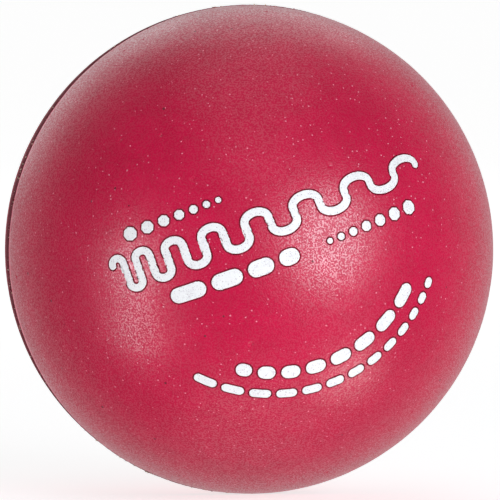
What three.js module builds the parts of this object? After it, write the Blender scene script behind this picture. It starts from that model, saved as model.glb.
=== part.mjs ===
// A hand-sized foam stress ball, in millimetres. +Z is up and the printed side faces -Y.
// It was foamed in a two-part mould: each half was sprayed with a coloured skin, the halves
// closed on a vertical parting plane, and the foam rose to fill them. The skins stay on the
// foam as two half shells. A thin web of foam that squeezed out between the mould halves runs
// all round between them, trimmed to a low crest, and the foam's vent left a trimmed stub at
// the rear pole. The print is white ink, each mark a film of its own on the front skin.
// The whole ball stands on the crest of the web, at the origin.
import * as THREE from "three";

// Ball and skin
const ballDiameter = 65;
const skinThickness = 0.8;
const skinSeat = 0.2; // clearance between the skin and the foam inside it

// Web of foam at the parting plane
const webThickness = 0.5;
const webSeat = 0.15; // clearance between the web and each skin's edge
const crestThickness = 0.25; // the web's trimmed outer edge
const crestHeight = 0.2; // how far the crest stands proud of the skin

// Vent stub at the rear pole
const ventDiameter = 4;
const ventSeat = 0.25; // clearance between the stub and the hole in the skin
const ventHeight = 0.15; // how far the trimmed stub stands proud of the skin
const ventEdge = 0.3; // bevel round the trimmed end

// Ink
const inkFilm = 0.1;
const inkSeat = 0.25; // clearance between a film and the skin under it

// Print: a slanted band, which is one wavy stroke that starts tight and relaxes
const bandCentre = { across: -3.15, up: 5.2 }; // arc lengths from the printed pole
const bandTilt = THREE.MathUtils.degToRad(20);
const waveStroke = 1.05;
const waveTurns = 15;
const tightTurn = { across: 0.85, over: 0.85 }; // half widths and heights of the round turns
const calmTurn = { across: 2.2, over: 1.25 };
const tightLeg = 3.2; // straight stretch between two turns
const calmLeg = 0.4;

// Print: rows along the band, which are dots over its left half and under its right half,
// and a line of heavy dashes under its left half
const rowGap = 1.1; // between the wave's crests and the marks of a row
const dotCount = 7;
const dotSmallest = 0.8;
const dotLargest = 2.0;
const dotGap = 0.75;
const dotRowStart = 5.5; // along the band from its centre to the first dot of a row
const tagRow = { count: 4, first: 2.8, last: 0.6, height: 2.1, gap: 0.85, start: -16.3 };

// Print: two lines of dashes that share one centre and curve under the band. Every dash's
// first and last lengths are those of its straight stretch, between its round ends.
const arcCentre = { across: -3.05, up: 6 };
const innerRadius = 21.3;
const lineGap = 1.75; // between the two lines
const innerRow = { count: 8, first: 0.4, last: 1.7, height: 1.8, gap: 0.8, start: -103 };
const outerRow = { count: 13, first: 2.1, last: 0.3, height: 1.2, gap: 0.75, start: -115 };

// Facets
const turnSteps = 48; // round the mould's axis
const arcSteps = 12; // from a pole to the parting plane
const markStep = 0.8; // longest step along a mark
const waveSteps = 320;
const endSteps = 4; // half the steps round the end of a mark

const ballRadius = ballDiameter / 2;
const skinInside = ballRadius - skinThickness;
const coreRadius = skinInside - skinSeat;
const skinEdge = webThickness / 2 + webSeat; // from the parting plane to a skin's edge
const ventHole = ventDiameter / 2 + ventSeat;
const outerRadius = innerRadius + (innerRow.height + outerRow.height) / 2 + lineGap;

const skinMaterial = new THREE.MeshStandardMaterial({ color: 0xb81c3c, roughness: 0.5 });
const webMaterial = new THREE.MeshStandardMaterial({ color: 0x8a1630, roughness: 0.8 });
const foamMaterial = new THREE.MeshStandardMaterial({ color: 0xe6d2b4, roughness: 0.95 });
const inkMaterial = new THREE.MeshStandardMaterial({ color: 0xf6f3f4, roughness: 0.55 });

const ball = new THREE.Group();
ball.position.z = ballRadius + crestHeight;

function addMesh(name, geometry, material) {
  const mesh = new THREE.Mesh(geometry, material);
  mesh.name = name;
  ball.add(mesh);
}

// Points of a profile along a circle about the ball's centre, from one height to another.
// A profile's x is the distance from the mould's axis and its y runs along that axis.
function arcProfile(radius, fromY, toY, steps) {
  const from = Math.asin(fromY / radius);
  const to = Math.asin(toY / radius);
  const points = [];
  for (let i = 0; i <= steps; i++) {
    const angle = from + ((to - from) * i) / steps;
    points.push(new THREE.Vector2(radius * Math.cos(angle), radius * Math.sin(angle)));
  }
  return points;
}

// The rear half shell, with the hole that the vent stub passes through.
function rearSkin() {
  const outerEnd = Math.sqrt(ballRadius ** 2 - ventHole ** 2);
  const innerEnd = Math.sqrt(skinInside ** 2 - ventHole ** 2);
  const profile = [
    ...arcProfile(ballRadius, skinEdge, outerEnd, arcSteps),
    ...arcProfile(skinInside, innerEnd, skinEdge, arcSteps),
  ];
  profile.push(profile[0].clone());
  return new THREE.LatheGeometry(profile, turnSteps);
}

// The front half shell, closed at its pole.
function frontSkin() {
  const profile = [
    ...arcProfile(skinInside, -skinEdge, -skinInside, arcSteps),
    ...arcProfile(ballRadius, -ballRadius, -skinEdge, arcSteps),
  ];
  profile.push(profile[0].clone());
  return new THREE.LatheGeometry(profile, turnSteps);
}

function foamCore() {
  const profile = arcProfile(coreRadius, -coreRadius, coreRadius, 2 * arcSteps);
  return new THREE.LatheGeometry(profile, turnSteps);
}

// The web fills the gap between the skins and narrows to its trimmed crest.
function partingWeb() {
  const crestRadius = ballRadius + crestHeight;
  const half = webThickness / 2;
  const crestHalf = crestThickness / 2;
  const profile = [
    new THREE.Vector2(skinInside, -half),
    new THREE.Vector2(ballRadius, -half),
    new THREE.Vector2(crestRadius, -crestHalf),
    new THREE.Vector2(crestRadius, crestHalf),
    new THREE.Vector2(ballRadius, half),
    new THREE.Vector2(skinInside, half),
  ];
  profile.push(profile[0].clone());
  return new THREE.LatheGeometry(profile, turnSteps);
}

// A round stub with a bevelled end, from just over the foam to just proud of the skin.
function ventStub() {
  const radius = ventDiameter / 2;
  const end = ballRadius + ventHeight;
  const profile = [
    new THREE.Vector2(0, coreRadius + skinSeat),
    new THREE.Vector2(radius, coreRadius + skinSeat),
    new THREE.Vector2(radius, end - ventEdge),
    new THREE.Vector2(radius - ventEdge, end),
    new THREE.Vector2(0, end),
  ];
  return new THREE.LatheGeometry(profile, turnSteps / 2);
}

// Bends a flat film onto the ball. Its x and y become arc lengths across and up from the
// printed pole, and its z a height over the skin.
function wrapOnBall(geometry) {
  const position = geometry.getAttribute("position");
  for (let i = 0; i < position.count; i++) {
    const across = position.getX(i);
    const up = position.getY(i);
    const arc = Math.hypot(across, up);
    const polar = arc / ballRadius;
    const spread = arc > 0 ? Math.sin(polar) / arc : 0;
    const radius = ballRadius + inkSeat + position.getZ(i);
    position.setXYZ(
      i,
      radius * across * spread,
      -radius * Math.cos(polar),
      radius * up * spread,
    );
  }
  return geometry;
}

function filmOf(shape) {
  return new THREE.ExtrudeGeometry(shape, {
    depth: inkFilm,
    bevelEnabled: false,
    curveSegments: endSteps,
  });
}

// A stroke of ink with round ends, as wide all along a line of points.
function strokeShape(line, width) {
  const half = width / 2;
  const left = [];
  const right = [];
  line.forEach((point, i) => {
    const before = line[Math.max(i - 1, 0)];
    const after = line[Math.min(i + 1, line.length - 1)];
    const aside = new THREE.Vector2(before.y - after.y, after.x - before.x).setLength(half);
    left.push(point.clone().add(aside));
    right.push(point.clone().sub(aside));
  });
  const shape = new THREE.Shape();
  addRoundEnd(shape, line.at(-1), right.at(-1), half);
  left.slice(1, -1).reverse().forEach((point) => shape.lineTo(point.x, point.y));
  addRoundEnd(shape, line[0], left[0], half);
  right.slice(1, -1).forEach((point) => shape.lineTo(point.x, point.y));
  return shape;
}

// Half a turn about a stroke's end, from one of its corners.
function addRoundEnd(shape, end, corner, half) {
  const from = Math.atan2(corner.y - end.y, corner.x - end.x);
  shape.absarc(end.x, end.y, half, from, from + Math.PI);
}

function dotShape(diameter) {
  return new THREE.Shape().absarc(0, 0, diameter / 2, 0, 2 * Math.PI);
}

// The middle line of a dash that starts at the origin and runs along +X.
function dashLine(straight, width) {
  const line = new THREE.LineCurve(
    new THREE.Vector2(width / 2, 0),
    new THREE.Vector2(width / 2 + straight, 0),
  );
  return line.getPoints(Math.ceil(straight / markStep));
}

// The middle line of the wave, about the middle of the band.
function waveLine() {
  const path = new THREE.Path();
  let along = (-waveTurns * (tightTurn.across + calmTurn.across)) / 2;
  path.moveTo(along, 0);
  for (let i = 0; i < waveTurns; i++) {
    const settled = i / (waveTurns - 1);
    const across = THREE.MathUtils.lerp(tightTurn.across, calmTurn.across, settled);
    const over = THREE.MathUtils.lerp(tightTurn.over, calmTurn.over, settled);
    const leg = THREE.MathUtils.lerp(tightLeg, calmLeg, settled);
    const isUp = i % 2 === 0;
    const middle = isUp ? leg / 2 : -leg / 2;
    const end = isUp ? 0 : 2 * Math.PI;
    path.absellipse(along + across, middle, across, over, Math.PI, end, isUp);
    along += 2 * across;
  }
  path.lineTo(along, 0);
  return path.getSpacedPoints(waveSteps);
}

// From the band's middle line to the middle of a row that lies along it.
function rowOffset(height) {
  return tightLeg / 2 + tightTurn.over + waveStroke / 2 + rowGap + height / 2;
}

// A mark on the band, at a place along it and over its middle line, turned with it.
function addBandMark(name, shape, along, over) {
  const film = filmOf(shape).translate(along, over, 0).rotateZ(bandTilt);
  film.translate(bandCentre.across, bandCentre.up, 0);
  addMesh(name, wrapOnBall(film), inkMaterial);
}

// Dots that grow outwards from the band's middle, over it to the left (side -1) or under it
// to the right (side 1), so that each row is the other turned half round.
function addDotRow(name, side) {
  let start = dotRowStart;
  for (let i = 0; i < dotCount; i++) {
    const diameter = THREE.MathUtils.lerp(dotSmallest, dotLargest, i / (dotCount - 1));
    const along = side * (start + diameter / 2);
    const over = -side * rowOffset(dotLargest);
    addBandMark(`${name}_${i + 1}`, dotShape(diameter), along, over);
    start += diameter + dotGap;
  }
}

function dashStraight(row, i) {
  return THREE.MathUtils.lerp(row.first, row.last, i / (row.count - 1));
}

function addTagRow(name, row) {
  let start = row.start;
  for (let i = 0; i < row.count; i++) {
    const straight = dashStraight(row, i);
    const shape = strokeShape(dashLine(straight, row.height), row.height);
    addBandMark(`${name}_${i + 1}`, shape, start, -rowOffset(row.height));
    start += straight + row.height + row.gap;
  }
}

// Dashes along an arc, whose lengths are measured on the arc.
function addArcRow(name, row, radius) {
  let start = THREE.MathUtils.degToRad(row.start);
  for (let i = 0; i < row.count; i++) {
    const straight = dashStraight(row, i);
    const line = dashLine(straight, row.height).map((point) => {
      const angle = start + point.x / radius;
      return new THREE.Vector2(radius * Math.cos(angle), radius * Math.sin(angle));
    });
    const film = filmOf(strokeShape(line, row.height));
    film.translate(arcCentre.across, arcCentre.up, 0);
    addMesh(`${name}_${i + 1}`, wrapOnBall(film), inkMaterial);
    start += (straight + row.height + row.gap) / radius;
  }
}

addMesh("foam_core", foamCore(), foamMaterial);
addMesh("skin_rear", rearSkin(), skinMaterial);
addMesh("skin_front", frontSkin(), skinMaterial);
addMesh("parting_web", partingWeb(), webMaterial);
addMesh("vent_stub", ventStub(), foamMaterial);
addBandMark("print_wave", strokeShape(waveLine(), waveStroke), 0, 0);
addDotRow("print_upper_dot", -1);
addDotRow("print_lower_dot", 1);
addTagRow("print_tag", tagRow);
addArcRow("print_inner_dash", innerRow, innerRadius);
addArcRow("print_outer_dash", outerRow, outerRadius);

const part = new THREE.Group();
part.add(ball);

export default part;
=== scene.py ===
import math
import random
import bpy
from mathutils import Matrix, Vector, kdtree


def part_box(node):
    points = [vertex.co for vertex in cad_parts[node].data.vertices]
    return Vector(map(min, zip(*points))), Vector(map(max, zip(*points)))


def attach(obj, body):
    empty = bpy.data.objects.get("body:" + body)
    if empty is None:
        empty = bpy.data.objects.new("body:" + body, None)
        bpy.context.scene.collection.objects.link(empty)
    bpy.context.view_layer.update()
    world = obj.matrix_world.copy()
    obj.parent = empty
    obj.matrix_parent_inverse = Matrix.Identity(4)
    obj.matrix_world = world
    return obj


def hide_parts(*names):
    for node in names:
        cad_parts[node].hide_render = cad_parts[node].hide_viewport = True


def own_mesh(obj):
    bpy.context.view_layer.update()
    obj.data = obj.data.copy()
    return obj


# A moulded foam stress ball: two red half skins on a foam core, the trimmed web of foam on
# the parting line between them, the vent stub at the back, and white ink on the front.

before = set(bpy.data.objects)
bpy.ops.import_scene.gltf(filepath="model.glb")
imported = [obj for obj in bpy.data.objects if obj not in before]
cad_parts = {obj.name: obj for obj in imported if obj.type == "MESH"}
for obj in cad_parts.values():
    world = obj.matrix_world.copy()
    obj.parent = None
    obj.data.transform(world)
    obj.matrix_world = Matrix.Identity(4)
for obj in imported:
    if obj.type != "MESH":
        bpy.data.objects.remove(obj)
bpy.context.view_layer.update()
print("frame loaded")

mm = 0.001
weldWithin = 0.002 * mm


def boxMiddle(node):
    low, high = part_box(node)
    return (Vector(low) + Vector(high)) / 2


def boxSize(node):
    low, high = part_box(node)
    return Vector(high) - Vector(low)


# What every piece is fitted to, read off the frame. The mould's axis is Y, the print is at -Y.
ballCentre = boxMiddle("skin_front")
ballCentre.y = boxMiddle("parting_web").y
ballRadius = boxSize("skin_front").x / 2
webHalf = boxSize("parting_web").y * 0.42  # half the web, a little narrower than its place
coreRadius = boxSize("foam_core").x / 2
ventRadius = boxSize("vent_stub").x / 2
ventInside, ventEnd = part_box("vent_stub")[0][1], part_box("vent_stub")[1][1]
skinWall = ballRadius - coreRadius - 0.2 * mm  # the skin stays clear of the foam under it


# Small helpers

def deselectAll():
    bpy.ops.object.select_all(action="DESELECT")


def makeActive(piece):
    deselectAll()
    piece.select_set(True)
    bpy.context.view_layer.objects.active = piece


def startEdit(piece, kind="FACE"):
    makeActive(piece)
    bpy.ops.object.mode_set(mode="EDIT")
    bpy.ops.mesh.select_mode(type=kind)


def endEdit():
    bpy.ops.object.mode_set(mode="OBJECT")


def pickFaces(piece, test):
    # in object mode, leaves selected only the faces whose middle passes the test
    mesh = piece.data
    mesh.edges.foreach_set("select", [False] * len(mesh.edges))
    mesh.vertices.foreach_set("select", [False] * len(mesh.vertices))
    mesh.polygons.foreach_set("select", [bool(test(face.center)) for face in mesh.polygons])


def pickEdges(piece, test):
    mesh = piece.data
    mesh.polygons.foreach_set("select", [False] * len(mesh.polygons))
    mesh.vertices.foreach_set("select", [False] * len(mesh.vertices))
    ends = [edge.vertices for edge in mesh.edges]
    middles = [(mesh.vertices[a].co + mesh.vertices[b].co) / 2 for a, b in ends]
    mesh.edges.foreach_set("select", [bool(test(middle)) for middle in middles])


def addModifier(piece, kind, **values):
    modifier = piece.modifiers.new(kind.title(), kind)
    for key, value in values.items():
        setattr(modifier, key, value)
    makeActive(piece)
    bpy.ops.object.modifier_apply(modifier=modifier.name)


def settle(piece, name):
    # the place goes into the mesh, and the object to the origin
    makeActive(piece)
    bpy.ops.object.transform_apply(location=True, rotation=True, scale=True)
    piece.name = name
    piece.data.name = name


def noiseTexture(name, kind, size, **values):
    texture = bpy.data.textures.new(name, type=kind)
    texture.noise_scale = size
    for key, value in values.items():
        setattr(texture, key, value)
    return texture


def displace(piece, texture, strength, direction="NORMAL", group=""):
    addModifier(
        piece, "DISPLACE", texture=texture, strength=strength, mid_level=0.5,
        direction=direction, texture_coords="LOCAL", vertex_group=group,
    )


def smooth(piece, angle=40):
    makeActive(piece)
    bpy.ops.object.shade_smooth_by_angle(angle=math.radians(angle))


def giveMaterials(piece, *materials):
    piece.data.materials.clear()
    for material in materials:
        piece.data.materials.append(material)


# Each piece goes onto its body, and the frame's own parts are hidden.
def joinFrame(piece, body, slotName, *nodes):
    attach(piece, body)
    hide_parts(*nodes)
    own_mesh(piece)


# Shader pieces

def addNode(tree, kind, place, values=None, **settings):
    node = tree.nodes.new(kind)
    node.location = place
    for key, value in settings.items():
        setattr(node, key, value)
    for key, value in (values or {}).items():
        node.inputs[key].default_value = value
    return node


def mathNode(tree, operation, place, first=None, second=None, clamp=False):
    node = addNode(tree, "ShaderNodeMath", place, operation=operation, use_clamp=clamp)
    for index, value in enumerate((first, second)):
        if value is None:
            continue
        if isinstance(value, (int, float)):
            node.inputs[index].default_value = value
        else:
            tree.links.new(value, node.inputs[index])
    return node.outputs[0]


def rangeNode(tree, place, value, fromMin, fromMax, toMin=0.0, toMax=1.0, smoothed=True):
    node = addNode(tree, "ShaderNodeMapRange", place)
    node.interpolation_type = "SMOOTHSTEP" if smoothed else "LINEAR"
    tree.links.new(value, node.inputs["Value"])
    for key, limit in (("From Min", fromMin), ("From Max", fromMax), ("To Min", toMin), ("To Max", toMax)):
        if isinstance(limit, (int, float)):
            node.inputs[key].default_value = limit
        else:
            tree.links.new(limit, node.inputs[key])
    return node.outputs["Result"]


def mixColour(tree, place, factor, first, second, blend="MIX"):
    node = addNode(tree, "ShaderNodeMix", place, data_type="RGBA", blend_type=blend)
    for index, value in ((0, factor), (6, first), (7, second)):
        if isinstance(value, (int, float)):
            node.inputs[index].default_value = value
        elif isinstance(value, tuple):
            node.inputs[index].default_value = (*value, 1)
        else:
            tree.links.new(value, node.inputs[index])
    return node.outputs[2]


def newGroup(name, inputs, outputs):
    group = bpy.data.node_groups.new(name, "ShaderNodeTree")
    for label, value in inputs.items():
        socket = group.interface.new_socket(label, in_out="INPUT", socket_type="NodeSocketFloat")
        socket.default_value = value
    for label in outputs:
        group.interface.new_socket(label, in_out="OUTPUT", socket_type="NodeSocketFloat")
    start = addNode(group, "NodeGroupInput", (-900, 0))
    end = addNode(group, "NodeGroupOutput", (700, 0))
    place = addNode(group, "ShaderNodeTexCoord", (-900, -300)).outputs["Object"]
    return group, start, end, place


def noiseNode(tree, at, place, scale, detail=2.0, roughness=0.5, distortion=0.0):
    node = addNode(
        tree, "ShaderNodeTexNoise", at,
        {"Detail": detail, "Roughness": roughness, "Distortion": distortion},
    )
    tree.links.new(place, node.inputs["Vector"])
    if isinstance(scale, (int, float)):
        node.inputs["Scale"].default_value = scale
    else:
        tree.links.new(scale, node.inputs["Scale"])
    return node.outputs["Fac"]


peelLook = {"ridge": (0.42, 0.61), "broad": 0.3}  # the noise's range that rises; slower lumps' scale


def makePeelGroup():
    # the fine, worm-like granules that the mould leaves in the coat
    group, start, end, place = newGroup("finePeel", {"Per metre": 3400.0}, ("Height", "Ridge"))
    scale = start.outputs["Per metre"]
    worms = noiseNode(group, (-600, 200), place, scale, 1.5, 0.5, 0.3)
    ridge = rangeNode(group, (-300, 200), worms, *peelLook["ridge"])
    broadScale = mathNode(group, "MULTIPLY", (-700, -300), scale, peelLook["broad"])
    broad = noiseNode(group, (-600, -200), place, broadScale, 1.0)
    total = mathNode(group, "ADD", (100, 0), ridge, broad)
    group.links.new(total, end.inputs["Height"])
    group.links.new(ridge, end.inputs["Ridge"])
    return group


spotSolid = 0.55  # the share of a spot's radius that is full before it fades


def makeSpotGroup():
    # scattered round spots, each cell's of its own size
    group, start, end, place = newGroup(
        "scatteredSpots", {"Per metre": 300.0, "Size": 0.1, "Share": 0.5}, ("Mask", "Dome")
    )
    cells = addNode(group, "ShaderNodeTexVoronoi", (-500, 0))
    group.links.new(place, cells.inputs["Vector"])
    group.links.new(start.outputs["Per metre"], cells.inputs["Scale"])
    split = addNode(group, "ShaderNodeSeparateColor", (-300, -150))
    group.links.new(cells.outputs["Color"], split.inputs[0])
    reach = mathNode(group, "MULTIPLY", (-100, -150), split.outputs[0], start.outputs["Size"])
    shown = mathNode(group, "LESS_THAN", (-100, -350), split.outputs[1], start.outputs["Share"])
    inner = mathNode(group, "MULTIPLY", (50, -150), reach, spotSolid)
    disc = rangeNode(group, (250, 0), cells.outputs["Distance"], inner, reach, 1.0, 0.0)
    group.links.new(mathNode(group, "MULTIPLY", (450, 0), disc, shown), end.inputs["Mask"])
    dome = rangeNode(group, (250, -250), cells.outputs["Distance"], 0.0, reach, 1.0, 0.0)
    group.links.new(mathNode(group, "MULTIPLY", (450, -250), dome, shown), end.inputs["Dome"])
    return group


mottleLook = {"quick": 7.0, "range": (0.7, 1.3)}


def makeMottleGroup():
    # slow, cloudy changes in how thick the coat lies
    group, start, end, place = newGroup("cloudyCoat", {"Per metre": 60.0}, ("Shade",))
    scale = start.outputs["Per metre"]
    slow = noiseNode(group, (-500, 150), place, scale, 2.0)
    quickScale = mathNode(group, "MULTIPLY", (-700, -250), scale, mottleLook["quick"])
    quickOnes = noiseNode(group, (-500, -150), place, quickScale, 3.0)
    mixed = mathNode(group, "ADD", (-100, 0), slow, quickOnes)
    group.links.new(rangeNode(group, (200, 0), mixed, *mottleLook["range"]), end.inputs["Shade"])
    return group


cellLook = {"wall": (0.03, 0.28), "rough": 1.7}


def makeFoamGroup():
    # open cells with thin walls, and the height that they leave in a cut or torn face
    group, start, end, place = newGroup("foamCells", {"Per metre": 2500.0}, ("Height", "Pore"))
    cells = addNode(group, "ShaderNodeTexVoronoi", (-500, 100), feature="DISTANCE_TO_EDGE")
    group.links.new(place, cells.inputs["Vector"])
    group.links.new(start.outputs["Per metre"], cells.inputs["Scale"])
    pore = rangeNode(group, (-200, 100), cells.outputs["Distance"], *cellLook["wall"])
    roughScale = mathNode(group, "MULTIPLY", (-700, -300), start.outputs["Per metre"], cellLook["rough"])
    rough = noiseNode(group, (-500, -200), place, roughScale, 3.0)
    height = mathNode(group, "SUBTRACT", (100, 0), rough, pore)
    group.links.new(height, end.inputs["Height"])
    group.links.new(pore, end.inputs["Pore"])
    return group


peelGroup = makePeelGroup()
spotGroup = makeSpotGroup()
mottleGroup = makeMottleGroup()
foamGroup = makeFoamGroup()


def useGroup(tree, group, place, **values):
    node = addNode(tree, "ShaderNodeGroup", place, node_tree=group)
    for key, value in values.items():
        node.inputs[key.replace("_", " ")].default_value = value
    return node


def useSpots(tree, place, look):
    perMetre, size, share = look
    return useGroup(tree, spotGroup, place, Per_metre=perMetre, Size=size, Share=share)


def newMaterial(name):
    material = bpy.data.materials.new(name)
    material.use_nodes = True
    tree = material.node_tree
    shader = tree.nodes["Principled BSDF"]
    return material, tree, shader


def addBump(tree, place, height, distance, strength=1.0, under=None):
    node = addNode(tree, "ShaderNodeBump", place, {"Strength": strength, "Distance": distance})
    tree.links.new(height, node.inputs["Height"])
    if under is not None:
        tree.links.new(under, node.inputs["Normal"])
    return node.outputs["Normal"]


coatLook = {
    "bright": (0.615, 0.0048, 0.058),
    "deep": (0.55, 0.0036, 0.049),
    "pit": (0.16, 0.004, 0.014),
    "speck": (0.88, 0.27, 0.36),
    "roughness": (0.36, 0.30),  # between the grain's ridges, and on them
    "gloss": (0.0, 0.90),
    "glossRoughness": 0.30,
    "glossIor": 1.7,
    "ior": 1.40,
    "grain": 4500.0,
    "grainHeight": 0.012 * mm,
    "speckHeight": 0.045 * mm,
    "pitDepth": 0.05 * mm,
    "pits": (450.0, 0.11, 0.6),  # cells per metre, largest size in a cell, share of cells
    "specks": (1500.0, 0.225, 0.9),
    "mottle": 70.0,
    "seamUneven": (420.0, 0.8, 1.2),  # per metre, and how much the seam's reach changes
}


seamPaintedLight = {  # the coat's painted light beside the parting line: a painted highlight along the front skin's lip, and painted shade in a band on the rear skin; colour, full to (mm), gone by (mm), strength
    # painted highlight where the front skin's rolled lip catches the light
    "redCoatFront": ((0.95, 0.17, 0.26), 0.6, 1.7, 0.85),
    # painted shade in a band on the rear skin beside the line
    "redCoatRear": ((0.115, 0.004, 0.013), 1.0, 5.8, 0.92),
}


def makeCoat(name):
    material, tree, shader = newMaterial(name)
    look = coatLook
    seamPaintedColour, seamFull, seamEnd, seamStrength = seamPaintedLight[name]
    peel = useGroup(tree, peelGroup, (-1200, -400), Per_metre=look["grain"])
    pits = useSpots(tree, (-1200, 0), look["pits"])
    specks = useSpots(tree, (-1200, 200), look["specks"])
    mottle = useGroup(tree, mottleGroup, (-1200, 400), Per_metre=look["mottle"])
    colour = mixColour(tree, (-900, 400), mottle.outputs["Shade"], look["deep"], look["bright"])
    # the distance from the parting line is kept on the skin itself, so it holds in a squeeze
    place = addNode(tree, "ShaderNodeTexCoord", (-1700, 900)).outputs["Object"]
    fromLine = addNode(tree, "ShaderNodeAttribute", (-1500, 700))
    fromLine.attribute_name = "fromLine"
    perMetre, least, most = look["seamUneven"]
    uneven = noiseNode(tree, (-1500, 900), place, perMetre, 3.0, 0.55)
    spread = rangeNode(tree, (-1300, 900), uneven, 0.3, 0.7, least, most)
    away = mathNode(tree, "MULTIPLY", (-1200, 700), fromLine.outputs["Fac"], spread)
    # painted light beside the parting line: a highlight on the front skin, shade on the rear skin
    seamPaintedMask = rangeNode(tree, (-1100, 700), away, seamFull, seamEnd, seamStrength, 0.0)
    colour = mixColour(tree, (-700, 400), seamPaintedMask, colour, seamPaintedColour)
    # painted shade: the sunken pinholes are darkened in colour
    colour = mixColour(tree, (-500, 300), pits.outputs["Mask"], colour, look["pit"])
    # pale specks on the coat: partly real pale flecks, partly a painted glint
    colour = mixColour(tree, (-300, 200), specks.outputs["Mask"], colour, look["speck"])
    tree.links.new(colour, shader.inputs["Base Color"])
    ridge = peel.outputs["Ridge"]
    rough = rangeNode(tree, (-700, -100), ridge, 0, 1, *look["roughness"])
    gloss = rangeNode(tree, (-700, 0), ridge, 0, 1, *look["gloss"])
    if name == "redCoatRear":
        # the band of painted shade beside the line is also made matt
        rough = mathNode(tree, "ADD", (-500, -100), rough, seamPaintedMask, clamp=True)
        bare = mathNode(tree, "SUBTRACT", (-700, 150), 1.0, seamPaintedMask)
        gloss = mathNode(tree, "MULTIPLY", (-500, 0), gloss, bare)
    tree.links.new(rough, shader.inputs["Roughness"])
    tree.links.new(gloss, shader.inputs["Coat Weight"])
    shader.inputs["Coat Roughness"].default_value = look["glossRoughness"]
    shader.inputs["Coat IOR"].default_value = look["glossIor"]
    grain = addBump(tree, (-900, -500), peel.outputs["Height"], look["grainHeight"])
    raised = addBump(tree, (-700, -500), specks.outputs["Dome"], look["speckHeight"], 1.0, grain)
    sunk = mathNode(tree, "MULTIPLY", (-700, -250), pits.outputs["Dome"], -1.0)
    pitted = addBump(tree, (-400, -400), sunk, look["pitDepth"], 1.0, raised)
    tree.links.new(pitted, shader.inputs["Normal"])
    shader.inputs["IOR"].default_value = look["ior"]
    return material


inkLook = {
    "white": (0.94, 0.93, 0.925),
    "thin": (0.80, 0.77, 0.79),
    "speckle": (0.50, 0.42, 0.47),
    "roughness": (0.42, 0.54),
    "specks": (4200.0, 0.50, 0.9),
    "speckShade": 0.65,
    "thinPatches": 700.0,
    "peelHeight": 0.010 * mm,
    "bleed": (0.12, 0.002, 0.011),
    "bleedMottle": (900.0, 0.35),
    "bleedRoughness": (0.9, 0.75),
    "bleedIor": 1.3,
}


def makeInk():
    material, tree, shader = newMaterial("whiteInk")
    look = inkLook
    mottle = useGroup(tree, mottleGroup, (-1000, 300), Per_metre=look["thinPatches"])
    thin = rangeNode(tree, (-800, 300), mottle.outputs["Shade"], 0.62, 1.0, 0.0, 0.5)
    specks = useSpots(tree, (-1000, 0), look["specks"])
    peel = useGroup(tree, peelGroup, (-1000, -300), Per_metre=coatLook["grain"])
    colour = mixColour(tree, (-600, 200), thin, look["white"], look["thin"])
    speckShade = mathNode(tree, "MULTIPLY", (-600, 0), specks.outputs["Mask"], look["speckShade"])
    colour = mixColour(tree, (-400, 100), speckShade, colour, look["speckle"])
    tree.links.new(colour, shader.inputs["Base Color"])
    grain = addBump(tree, (-400, -300), peel.outputs["Height"], look["peelHeight"])
    tree.links.new(grain, shader.inputs["Normal"])
    wear = rangeNode(tree, (-400, -100), peel.outputs["Ridge"], 0, 1, *look["roughness"])
    tree.links.new(wear, shader.inputs["Roughness"])
    return material


def makeDarkRing():
    # a dark, matt ring round each mark
    material, tree, shader = newMaterial("inkBleed")
    perMetre, depth = inkLook["bleedMottle"]
    mottle = useGroup(tree, mottleGroup, (-900, 200), Per_metre=perMetre)
    peel = useGroup(tree, peelGroup, (-900, -200), Per_metre=coatLook["grain"])
    shade = mathNode(tree, "MULTIPLY", (-700, 200), mottle.outputs["Shade"], depth)
    colour = mixColour(tree, (-500, 200), shade, inkLook["bleed"], coatLook["deep"])
    tree.links.new(colour, shader.inputs["Base Color"])
    grain = addBump(tree, (-400, -300), peel.outputs["Height"], coatLook["grainHeight"])
    tree.links.new(grain, shader.inputs["Normal"])
    rough = rangeNode(tree, (-400, 0), peel.outputs["Ridge"], 0, 1, *inkLook["bleedRoughness"])
    tree.links.new(rough, shader.inputs["Roughness"])
    shader.inputs["IOR"].default_value = inkLook["bleedIor"]
    return material


foamLook = {
    "wall": (0.90, 0.73, 0.58),
    # the two pore colours are painted shade in the cells' hollows
    "pore": (0.66, 0.47, 0.34),
    "stain": (0.30, 0.012, 0.035),
    "stainPore": (0.10, 0.004, 0.014),
}


def makeFoam(name, wall, pore, perMetre, depth):
    material, tree, shader = newMaterial(name)
    cells = useGroup(tree, foamGroup, (-900, 0), Per_metre=perMetre)
    mottle = useGroup(tree, mottleGroup, (-900, 300), Per_metre=250.0)
    shade = mathNode(tree, "MULTIPLY", (-600, 200), mottle.outputs["Shade"], 0.35)
    # the pores are darkened in colour: painted shade in the cell hollows
    colour = mixColour(tree, (-500, 100), cells.outputs["Pore"], wall, pore)
    colour = mixColour(tree, (-300, 150), shade, colour, pore)
    tree.links.new(colour, shader.inputs["Base Color"])
    tree.links.new(addBump(tree, (-400, -200), cells.outputs["Height"], depth), shader.inputs["Normal"])
    rough = rangeNode(tree, (-300, -50), cells.outputs["Pore"], 0, 1, 0.78, 0.95)
    tree.links.new(rough, shader.inputs["Roughness"])
    return material


frontCoat = makeCoat("redCoatFront")
rearCoat = makeCoat("redCoatRear")
whiteInk = makeInk()
inkBleed = makeDarkRing()
rawFoam = makeFoam("rawFoam", foamLook["wall"], foamLook["pore"], 2600.0, 0.12 * mm)
stainedFoam = makeFoam("stainedFoam", foamLook["stain"], foamLook["stainPore"], 5200.0, 0.05 * mm)
print("materials made")


# Skins

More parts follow.
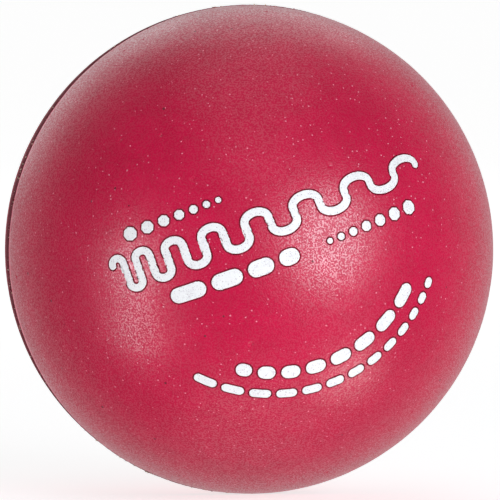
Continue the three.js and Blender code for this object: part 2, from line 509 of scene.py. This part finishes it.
skinLook = {
    "cuts": 107,  # over each face of the cube that becomes the half
    "lip": 0.12 * mm,
    "swell": (18 * mm, 0.10 * mm),  # size and depth of the skin's slow unevenness
    "ripple": (2.6 * mm, 0.030 * mm),
    "ventGap": 0.06 * mm,
    "pits": 34,
    "pitRadius": (0.22 * mm, 0.5 * mm),
    "pitDepth": (0.04 * mm, 0.14 * mm),
    "pitClear": 0.08,  # the share of the radius that is kept free of pits beside the parting line
    "pitReach": 1.6,  # how far round a pit the faces are made finer, in its greatest radii
}
swellTexture = noiseTexture("slowSwell", "CLOUDS", skinLook["swell"][0], noise_depth=1)
rippleTexture = noiseTexture("skinRipple", "CLOUDS", skinLook["ripple"][0], noise_depth=2)


def unevenLikeSkin(piece):
    displace(piece, swellTexture, skinLook["swell"][1])
    displace(piece, rippleTexture, skinLook["ripple"][1])


def pitPlaces(side, seed):
    # (place on the skin, radius, depth) of each pinhole, clear of the parting line
    rng = random.Random(seed)
    places = []
    while len(places) < skinLook["pits"]:
        way = Vector([rng.gauss(0, 1) for _ in range(3)]).normalized()
        size, depth = rng.uniform(*skinLook["pitRadius"]), rng.uniform(*skinLook["pitDepth"])
        if side * way.y > skinLook["pitClear"]:
            places.append((ballCentre + way * ballRadius, size, depth))
    return places


def pressPits(piece, places):
    tree = kdtree.KDTree(len(places))
    for index, (place, _, _) in enumerate(places):
        tree.insert(place, index)
    tree.balance()
    reach = skinLook["pitRadius"][1] * skinLook["pitReach"]
    pickFaces(piece, lambda middle: tree.find(middle)[2] < reach)
    startEdit(piece)
    bpy.ops.mesh.subdivide(number_cuts=4, smoothness=0)
    endEdit()
    for vertex in piece.data.vertices:
        _, index, distance = tree.find(vertex.co)
        place, size, depth = places[index]
        if distance < size:
            share = (1 - (distance / size) ** 2) ** 2
            vertex.co -= (vertex.co - ballCentre).normalized() * depth * share


def openVent(piece):
    # a round hole about the rear pole, for the stub of foam left in the mould's vent
    opening = ventRadius + skinLook["ventGap"]
    pole = ballCentre + Vector((0, ballRadius, 0))
    pickFaces(piece, lambda middle: (middle - pole).length < opening * 1.5)
    startEdit(piece)
    bpy.ops.mesh.subdivide(number_cuts=6, smoothness=0)
    endEdit()
    pickFaces(piece, lambda middle: (middle - pole).length < opening)
    startEdit(piece)
    bpy.ops.mesh.delete(type="FACE")
    bpy.ops.mesh.select_mode(type="EDGE")
    bpy.ops.mesh.select_all(action="SELECT")
    bpy.ops.mesh.region_to_loop()
    endEdit()
    for vertex in piece.data.vertices:
        if vertex.select and (vertex.co - pole).length < opening * 1.3:
            across = Vector((vertex.co.x - pole.x, 0, vertex.co.z - pole.z)).normalized() * opening
            depth = math.sqrt(ballRadius ** 2 - opening ** 2)
            vertex.co = ballCentre + across + Vector((0, depth, 0))


def keepFromLine(piece):
    # each point's distance from the parting line, in mm
    mesh = piece.data
    away = [abs(vertex.co.y - ballCentre.y) / mm for vertex in mesh.vertices]
    mesh.attributes.new("fromLine", "FLOAT", "POINT").data.foreach_set("value", away)


def makeSkin(name, side, material):
    # a cube, divided and rounded to the ball, cut off at its side of the web
    bpy.ops.mesh.primitive_cube_add(size=2 * ballRadius, location=ballCentre)
    piece = bpy.context.object
    startEdit(piece)
    bpy.ops.mesh.select_all(action="SELECT")
    bpy.ops.mesh.subdivide(number_cuts=skinLook["cuts"])
    endEdit()
    addModifier(piece, "CAST", cast_type="SPHERE", factor=1.0, use_radius_as_size=False, size=ballRadius)
    settle(piece, name)
    startEdit(piece)
    bpy.ops.mesh.select_all(action="SELECT")
    cutAt = ballCentre + Vector((0, side * webHalf, 0))
    bpy.ops.mesh.bisect(
        plane_co=cutAt, plane_no=(0, side, 0), clear_inner=True, clear_outer=False, threshold=1e-7
    )
    endEdit()
    pressPits(piece, pitPlaces(side, 40 + side))
    if side > 0:
        openVent(piece)
    unevenLikeSkin(piece)
    addModifier(piece, "SOLIDIFY", thickness=skinWall, offset=-1.0, use_rim=True, use_quality_normals=True)
    # the outer edge at the parting line is rolled over
    lipRadius = ballRadius - 0.3 * mm
    pickEdges(
        piece,
        lambda middle: abs(middle.y - cutAt.y) < 0.02 * mm and (middle - ballCentre).length > lipRadius,
    )
    startEdit(piece, "EDGE")
    bpy.ops.mesh.bevel(offset=skinLook["lip"], segments=3, profile=0.5)
    endEdit()
    keepFromLine(piece)
    giveMaterials(piece, material)
    return piece


skinFront = makeSkin("skinFront", -1, frontCoat)
smooth(skinFront)
joinFrame(skinFront, "front_half", "coloured_skin", "skin_front")

skinRear = makeSkin("skinRear", 1, rearCoat)
smooth(skinRear)
joinFrame(skinRear, "rear_half", "coloured_skin", "skin_rear")
print("skins made", len(skinFront.data.polygons), len(skinRear.data.polygons))


# Parting web

webLook = {
    "steps": 900,
    "foot": 0.8 * mm,  # how deep it runs in between the skins
    "crest": 0.05 * mm,  # how far it stands proud where it was trimmed
    "crestHalf": 0.13 * mm,
    "shoulder": 0.1 * mm,  # how far under the ball's surface the crest begins to narrow
    "waver": (1.6 * mm, 0.08 * mm),
    "tear": (0.45 * mm, 0.12 * mm),
    "crumbs": 260,
    "crumbSize": (0.04 * mm, 0.11 * mm),
    "crumbOut": (0.0, 0.1 * mm),
    "crumbAside": (0.05 * mm, 0.34 * mm),
    "paleCrumbs": 0.7,
}


def makeWeb():
    look = webLook
    # the section, at the top of the ball, with its outer corners drawn in, spun about the axis
    middle = ballRadius + look["crest"] / 2 - look["foot"] / 2
    place = ballCentre + Vector((0, 0, middle))
    bpy.ops.mesh.primitive_plane_add(size=1, location=place, rotation=(0, math.pi / 2, 0))
    piece = bpy.context.object
    piece.scale = (look["crest"] + look["foot"], 2 * webHalf, 1)
    settle(piece, "partingWeb")
    startEdit(piece, "EDGE")
    bpy.ops.mesh.select_all(action="SELECT")
    bpy.ops.mesh.subdivide(number_cuts=5)
    endEdit()
    for vertex in piece.data.vertices:
        over = vertex.co.z - ballCentre.z - (ballRadius - look["shoulder"])
        if over > 0:
            share = min(1, over / (look["crest"] + look["shoulder"]))
            narrowed = 1 - share * (1 - look["crestHalf"] / webHalf)
            vertex.co.y = ballCentre.y + (vertex.co.y - ballCentre.y) * narrowed
    startEdit(piece, "EDGE")
    bpy.ops.mesh.select_all(action="SELECT")
    bpy.ops.mesh.region_to_loop()
    bpy.ops.mesh.select_all(action="INVERT")
    bpy.ops.mesh.delete(type="EDGE_FACE")
    bpy.ops.mesh.select_all(action="SELECT")
    bpy.ops.mesh.spin(steps=look["steps"], angle=2 * math.pi, center=ballCentre, axis=(0, 1, 0))
    bpy.ops.mesh.select_all(action="SELECT")
    bpy.ops.mesh.remove_doubles(threshold=weldWithin)
    bpy.ops.mesh.normals_make_consistent(inside=False)
    endEdit()
    # only the crest wavers and tears
    crest = piece.vertex_groups.new(name="crest")
    for vertex in piece.data.vertices:
        over = (vertex.co - ballCentre).length - (ballRadius - look["shoulder"])
        crest.add([vertex.index], max(0.0, min(1.0, over / (2 * look["shoulder"]))), "REPLACE")
    displace(piece, noiseTexture("crestWaver", "CLOUDS", look["waver"][0]), look["waver"][1], group="crest")
    tear = noiseTexture("crestTear", "CLOUDS", look["tear"][0], noise_depth=3)
    displace(piece, tear, look["tear"][1], group="crest")
    giveMaterials(piece, stainedFoam, rawFoam)
    return piece


def makeCrumb():
    bpy.ops.mesh.primitive_ico_sphere_add(subdivisions=1, radius=1 * mm, location=(0, 0, 0))
    crumb = bpy.context.object
    settle(crumb, "foamCrumb")
    displace(crumb, noiseTexture("crumbShape", "CLOUDS", 0.9 * mm), 1.1 * mm)
    return crumb


def scatterCrumbs(web):
    # bits of pale foam that the trimming left along the crest
    rng = random.Random(11)
    model = makeCrumb()
    crumbs = []
    for _ in range(webLook["crumbs"]):
        turn = rng.uniform(0, 2 * math.pi)
        out = ballRadius + rng.uniform(*webLook["crumbOut"])
        aside = rng.choice((-1, 1)) * rng.uniform(*webLook["crumbAside"])
        crumb = model.copy()
        crumb.data = model.data.copy()
        bpy.context.collection.objects.link(crumb)
        crumb.location = ballCentre + Vector((out * math.sin(turn), aside, out * math.cos(turn)))
        crumb.rotation_euler = [rng.uniform(0, 6.28) for _ in range(3)]
        size = rng.uniform(*webLook["crumbSize"]) / mm
        crumb.scale = (size, size * rng.uniform(0.6, 1), size * rng.uniform(1, 2.2))
        crumbs.append(crumb)
    bpy.data.objects.remove(model)
    deselectAll()
    for crumb in crumbs:
        giveMaterials(crumb, stainedFoam, rawFoam)
        pale = rng.random() < webLook["paleCrumbs"]
        for face in crumb.data.polygons:
            face.material_index = 1 if pale else 0
        crumb.select_set(True)
    web.select_set(True)
    bpy.context.view_layer.objects.active = web
    bpy.ops.object.join()


partingWeb = makeWeb()
scatterCrumbs(partingWeb)
smooth(partingWeb)
joinFrame(partingWeb, "rear_half", "stained_foam", "parting_web")
print("web made", len(partingWeb.data.polygons))


# Foam core

coreLook = {"cells": (1.9 * mm, 0.5 * mm), "lumps": (9 * mm, 0.25 * mm), "divisions": 7, "under": 0.25 * mm}


def makeCore():
    bpy.ops.mesh.primitive_ico_sphere_add(
        subdivisions=coreLook["divisions"], radius=coreRadius - coreLook["under"], location=ballCentre
    )
    piece = bpy.context.object
    settle(piece, "foamCore")
    displace(piece, noiseTexture("coreLumps", "CLOUDS", coreLook["lumps"][0]), coreLook["lumps"][1])
    cells = noiseTexture("coreCells", "VORONOI", coreLook["cells"][0])
    displace(piece, cells, coreLook["cells"][1])
    giveMaterials(piece, rawFoam)
    return piece


foamCore = makeCore()
smooth(foamCore, 60)
joinFrame(foamCore, "rear_half", "raw_foam", "foam_core")
print("core made", len(foamCore.data.polygons))


# Vent stub

ventLook = {"rings": 9, "cells": (0.55 * mm, 0.22 * mm), "lumps": (1.6 * mm, 0.16 * mm)}


def makeStub():
    length = ventEnd - ventInside
    middle = ballCentre + Vector((0, (ventInside + ventEnd) / 2 - ballCentre.y, 0))
    bpy.ops.mesh.primitive_cylinder_add(
        vertices=96, radius=ventRadius, depth=length, location=middle, rotation=(-math.pi / 2, 0, 0),
        end_fill_type="NGON",
    )
    piece = bpy.context.object
    settle(piece, "ventStub")
    # the cut end is inset ring by ring, so that its cells have faces to lie in
    pickFaces(piece, lambda place: place.y > ventEnd - 0.01 * mm)
    startEdit(piece)
    for _ in range(ventLook["rings"]):
        bpy.ops.mesh.inset(thickness=ventRadius / (ventLook["rings"] + 1.5), depth=0)
    bpy.ops.mesh.poke()
    endEdit()
    pickEdges(piece, lambda place: False)
    pickFaces(piece, lambda place: place.y > ventEnd - 0.01 * mm)
    startEdit(piece)
    bpy.ops.mesh.subdivide(number_cuts=2)
    endEdit()
    endGroup = piece.vertex_groups.new(name="cutEnd")
    for vertex in piece.data.vertices:
        out = Vector((vertex.co.x - ballCentre.x, vertex.co.z - ballCentre.z)).length
        if vertex.co.y > ventEnd - 0.01 * mm and out < ventRadius * 0.97:
            endGroup.add([vertex.index], 1.0, "REPLACE")
    lumps = noiseTexture("stubLumps", "CLOUDS", ventLook["lumps"][0])
    displace(piece, lumps, ventLook["lumps"][1], "Y", "cutEnd")
    cells = noiseTexture("stubCells", "VORONOI", ventLook["cells"][0])
    displace(piece, cells, ventLook["cells"][1], "Y", "cutEnd")
    giveMaterials(piece, rawFoam)
    return piece


ventStub = makeStub()
smooth(ventStub, 50)
joinFrame(ventStub, "rear_half", "raw_foam", "vent_stub")
print("stub made", len(ventStub.data.polygons))


# Ink

inkFilm = {
    "cut": 0.3 * mm,  # the spacing of the cuts that let a film lie on the ball
    "under": -0.03 * mm,
    "thickness": 0.085 * mm,
    "edge": 0.025 * mm,
    "ragged": (0.32 * mm, 0.07 * mm),
    "bleedOut": 0.20 * mm,  # how far the dark ring round a mark reaches, and how thick it lies
    "bleedThickness": 0.04 * mm,
}
raggedSize, raggedDepth = inkFilm["ragged"]
raggedX = noiseTexture("inkRaggedX", "CLOUDS", raggedSize, noise_depth=2)
raggedZ = noiseTexture("inkRaggedZ", "CLOUDS", raggedSize, noise_depth=2, noise_basis="IMPROVED_PERLIN")


def cutInStrips(piece, way):
    # bisects the whole sheet, again and again, at right angles to the way
    places = [vertex.co.dot(way) for vertex in piece.data.vertices]
    count = math.ceil((max(places) - min(places)) / inkFilm["cut"])
    startEdit(piece)
    for index in range(1, count):
        bpy.ops.mesh.select_all(action="SELECT")
        level = min(places) + index * (max(places) - min(places)) / count
        bpy.ops.mesh.bisect(plane_co=way * level, plane_no=way, threshold=1e-7)
    endEdit()


def outwardWays(mesh):
    # the way out of the sheet at each vertex of its outline
    facesAt = {}
    for face in mesh.polygons:
        for key in face.edge_keys:
            facesAt.setdefault(key, []).append(face)
    ways = {}
    for key, faces in facesAt.items():
        if len(faces) > 1:
            continue
        first, second = (mesh.vertices[index].co for index in key)
        along = (second - first).normalized()
        out = (first + second) / 2 - faces[0].center
        out = (out - along * out.dot(along)).normalized()
        for index in key:
            spot = tuple(round(value / mm, 4) for value in mesh.vertices[index].co)
            ways[spot] = ways.get(spot, Vector()) + out
    return ways


def makeDarkRingCopy(sheet):
    # the sheet again, a little wider, in the dark ring's own finish
    ring = sheet.copy()
    ring.data = sheet.data.copy()
    bpy.context.collection.objects.link(ring)
    ways = outwardWays(ring.data)
    startEdit(ring, "EDGE")
    bpy.ops.mesh.select_all(action="SELECT")
    bpy.ops.mesh.region_to_loop()
    bpy.ops.mesh.extrude_region()
    endEdit()
    for vertex in ring.data.vertices:
        spot = tuple(round(value / mm, 4) for value in vertex.co)
        if vertex.select and spot in ways:
            vertex.co += ways[spot].normalized() * inkFilm["bleedOut"]
    giveMaterials(ring, inkBleed)
    return ring


def makeMark(node):
    # the top sheet of the frame's film is laid on the ball and given its own thickness
    name = "ink" + node[len("print_"):].title().replace("_", "")
    piece = bpy.data.objects.new(name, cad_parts[node].data.copy())
    bpy.context.collection.objects.link(piece)
    startEdit(piece, "VERT")
    bpy.ops.mesh.select_all(action="SELECT")
    bpy.ops.mesh.remove_doubles(threshold=weldWithin)
    endEdit()
    out = [(vertex.co - ballCentre).length for vertex in piece.data.vertices]
    top = max(out) - 0.02 * mm
    mesh = piece.data
    raised = [value > top for value in out]
    pickEdges(piece, lambda middle: False)
    mesh.polygons.foreach_set("select", [all(raised[v] for v in face.vertices) for face in mesh.polygons])
    startEdit(piece)
    bpy.ops.mesh.select_all(action="INVERT")
    bpy.ops.mesh.delete(type="FACE")
    endEdit()
    cutInStrips(piece, Vector((1, 0, 0)))
    cutInStrips(piece, Vector((0, 0, 1)))
    bpy.context.scene.cursor.location = ballCentre
    makeActive(piece)
    bpy.ops.object.origin_set(type="ORIGIN_CURSOR")
    addModifier(
        piece, "CAST", cast_type="SPHERE", factor=1.0, use_radius_as_size=False,
        size=ballRadius + inkFilm["under"],
    )
    settle(piece, name)
    ring = makeDarkRingCopy(piece)
    displace(piece, raggedX, raggedDepth, "X")
    displace(piece, raggedZ, raggedDepth, "Z")
    unevenLikeSkin(piece)
    unevenLikeSkin(ring)
    addModifier(ring, "SOLIDIFY", thickness=inkFilm["bleedThickness"], offset=1.0, use_rim=True)
    addModifier(piece, "SOLIDIFY", thickness=inkFilm["thickness"], offset=1.0, use_rim=True)
    addModifier(
        piece, "BEVEL", width=inkFilm["edge"], segments=2, limit_method="ANGLE",
        angle_limit=math.radians(50),
    )
    giveMaterials(piece, whiteInk)
    makeActive(piece)
    ring.select_set(True)
    bpy.ops.object.join()
    smooth(piece)
    return piece


for node in sorted(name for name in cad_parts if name.startswith("print_")):
    mark = makeMark(node)
    joinFrame(mark, "front_half", "white_ink", node)
print("ink made")


# Camera, floor and light

viewLook = {
    "azimuth": -11.5,
    "elevation": 2.5,
    "distance": 1.0,
    "fill": 0.9772,  # the ball's share of the picture
    "shift": (0.0017, -0.0013),
}


def viewWays(azimuth, elevation):
    # unit vectors to the right, up and back to the camera
    a, e = math.radians(azimuth), math.radians(elevation)
    back = Vector((math.sin(a) * math.cos(e), -math.cos(a) * math.cos(e), math.sin(e)))
    right = Vector((math.cos(a), math.sin(a), 0))
    return right, back.cross(right), back


right, up, back = viewWays(viewLook["azimuth"], viewLook["elevation"])


def makeCamera():
    camera = bpy.data.objects.new("camera", bpy.data.cameras.new("camera"))
    bpy.context.collection.objects.link(camera)
    camera.location = ballCentre + back * viewLook["distance"]
    camera.rotation_euler = (-back).to_track_quat("-Z", "Y").to_euler()
    lens = camera.data
    edge = math.tan(math.asin(ballRadius / viewLook["distance"]))
    lens.lens = viewLook["fill"] / 2 / edge * lens.sensor_width
    lens.shift_x, lens.shift_y = viewLook["shift"]
    lens.clip_start, lens.clip_end = 0.05, 60
    bpy.context.scene.camera = camera


floorLook = {"size": 60, "shade": 0.55, "glow": (0.72, 0.85), "glowReach": (0.08, 1.2)}


def makeFloor():
    # a white, lit table, which glows more further out, where the lamps don't reach
    bpy.ops.mesh.primitive_plane_add(size=floorLook["size"], location=(0, 0, 0))
    floor = bpy.context.object
    floor.name = "floor"
    material, tree, shader = newMaterial("paleFloor")
    shade = floorLook["shade"]
    shader.inputs["Base Color"].default_value = (shade, shade, shade, 1)
    shader.inputs["Roughness"].default_value = 0.9
    shader.inputs["Specular IOR Level"].default_value = 0.1
    shader.inputs["Emission Color"].default_value = (1, 1, 1, 1)
    place = addNode(tree, "ShaderNodeTexCoord", (-900, 0)).outputs["Object"]
    away = addNode(tree, "ShaderNodeVectorMath", (-700, 0), operation="LENGTH")
    tree.links.new(place, away.inputs[0])
    glow = rangeNode(tree, (-500, 0), away.outputs["Value"], *floorLook["glowReach"], *floorLook["glow"])
    tree.links.new(glow, shader.inputs["Emission Strength"])
    giveMaterials(floor, material)
    floor.visible_shadow = False
    floor.visible_glossy = False
    floor.visible_diffuse = False


def makeLamp(name, way, distance, size, radiance, tint):
    data = bpy.data.lights.new(name, "AREA")
    data.color = tint
    data.shape = "DISK"
    data.size = size
    data.energy = radiance * math.pi * math.pi * (size / 2) ** 2
    lamp = bpy.data.objects.new(name, data)
    bpy.context.collection.objects.link(lamp)
    lamp.location = ballCentre + way.normalized() * distance
    lamp.rotation_euler = way.to_track_quat("Z", "Y").to_euler()
    lamp.visible_camera = False
    return lamp


# Soft lights: the way from the ball (right, up, back to the camera), distance, size, brightness, tint.
# The floor lets those under it through, so that they light the ball as a glowing table would.
lampLook = {
    "key": ((0.6, 0.1, 0.8), 0.9, 0.62, 6.5, (0.95, 1.0, 1.07)),
    "keyLow": ((0.6, -0.2, 0.8), 0.9, 0.35, 2.2, (0.97, 1.0, 1.07)),
    "leftHigh": ((-0.8, -0.1, 0.56), 0.9, 0.25, 13.0, (0.97, 0.99, 1.03)),
    "leftMiddle": ((-0.8, -0.35, 0.5), 0.9, 0.30, 2.0, (0.97, 0.99, 1.03)),
    "leftLow": ((-0.75, -0.55, 0.4), 0.9, 0.35, 3.5, (0.97, 0.99, 1.03)),
    "rightLow": ((0.6, -0.75, 0.2), 0.9, 0.40, 4.0, (1.0, 1.0, 1.0)),
    "low": ((0.0, -0.9, 0.4), 0.9, 0.60, 0.5, (1.0, 1.0, 1.0)),
    "top": ((0.0, 1.0, 0.1), 1.0, 0.90, 0.45, (1.0, 1.0, 1.0)),
    "topFront": ((0.0, 0.7, 0.7), 1.0, 0.60, 0.50, (1.0, 1.0, 1.0)),
    "under": ((0.0, -1.0, 0.0), 1.0, 0.90, 0.50, (1.0, 1.0, 1.0)),
    "behind": ((0.0, 0.7, -0.7), 1.0, 0.80, 0.50, (1.0, 1.0, 1.0)),
    "behindLeft": ((-0.4, 0.4, -0.8), 1.0, 0.60, 0.45, (1.0, 1.0, 1.0)),
}
worldLook = {"ahead": 0.12, "behind": 0.60, "seen": 1.0}


def makeWorld():
    # dark in front of the ball and pale behind it, which gives its pale rim
    world = bpy.data.worlds.new("studio")
    bpy.context.scene.world = world
    world.use_nodes = True
    tree = world.node_tree
    ground = tree.nodes["Background"]
    ground.inputs["Color"].default_value = (1, 1, 1, 1)
    place = addNode(tree, "ShaderNodeTexCoord", (-1100, 0)).outputs["Generated"]
    facing = addNode(tree, "ShaderNodeVectorMath", (-900, 0), operation="DOT_PRODUCT")
    tree.links.new(place, facing.inputs[0])
    facing.inputs[1].default_value = -back
    ahead, behind = worldLook["ahead"], worldLook["behind"]
    light = rangeNode(tree, (-700, 100), facing.outputs["Value"], 0.0, 1.0, ahead, behind)
    seen = addNode(tree, "ShaderNodeLightPath", (-450, 300)).outputs["Is Camera Ray"]
    strength = rangeNode(tree, (-200, 100), seen, 0, 1, light, worldLook["seen"], smoothed=False)
    tree.links.new(strength, ground.inputs["Strength"])


makeCamera()
makeFloor()
makeWorld()
for name, (way, distance, size, radiance, tint) in lampLook.items():
    makeLamp(name, right * way[0] + up * way[1] + back * way[2], distance, size, radiance, tint)
bpy.context.scene.view_settings.view_transform = "Standard"
bpy.context.scene.view_settings.look = "None"
print("studio made")
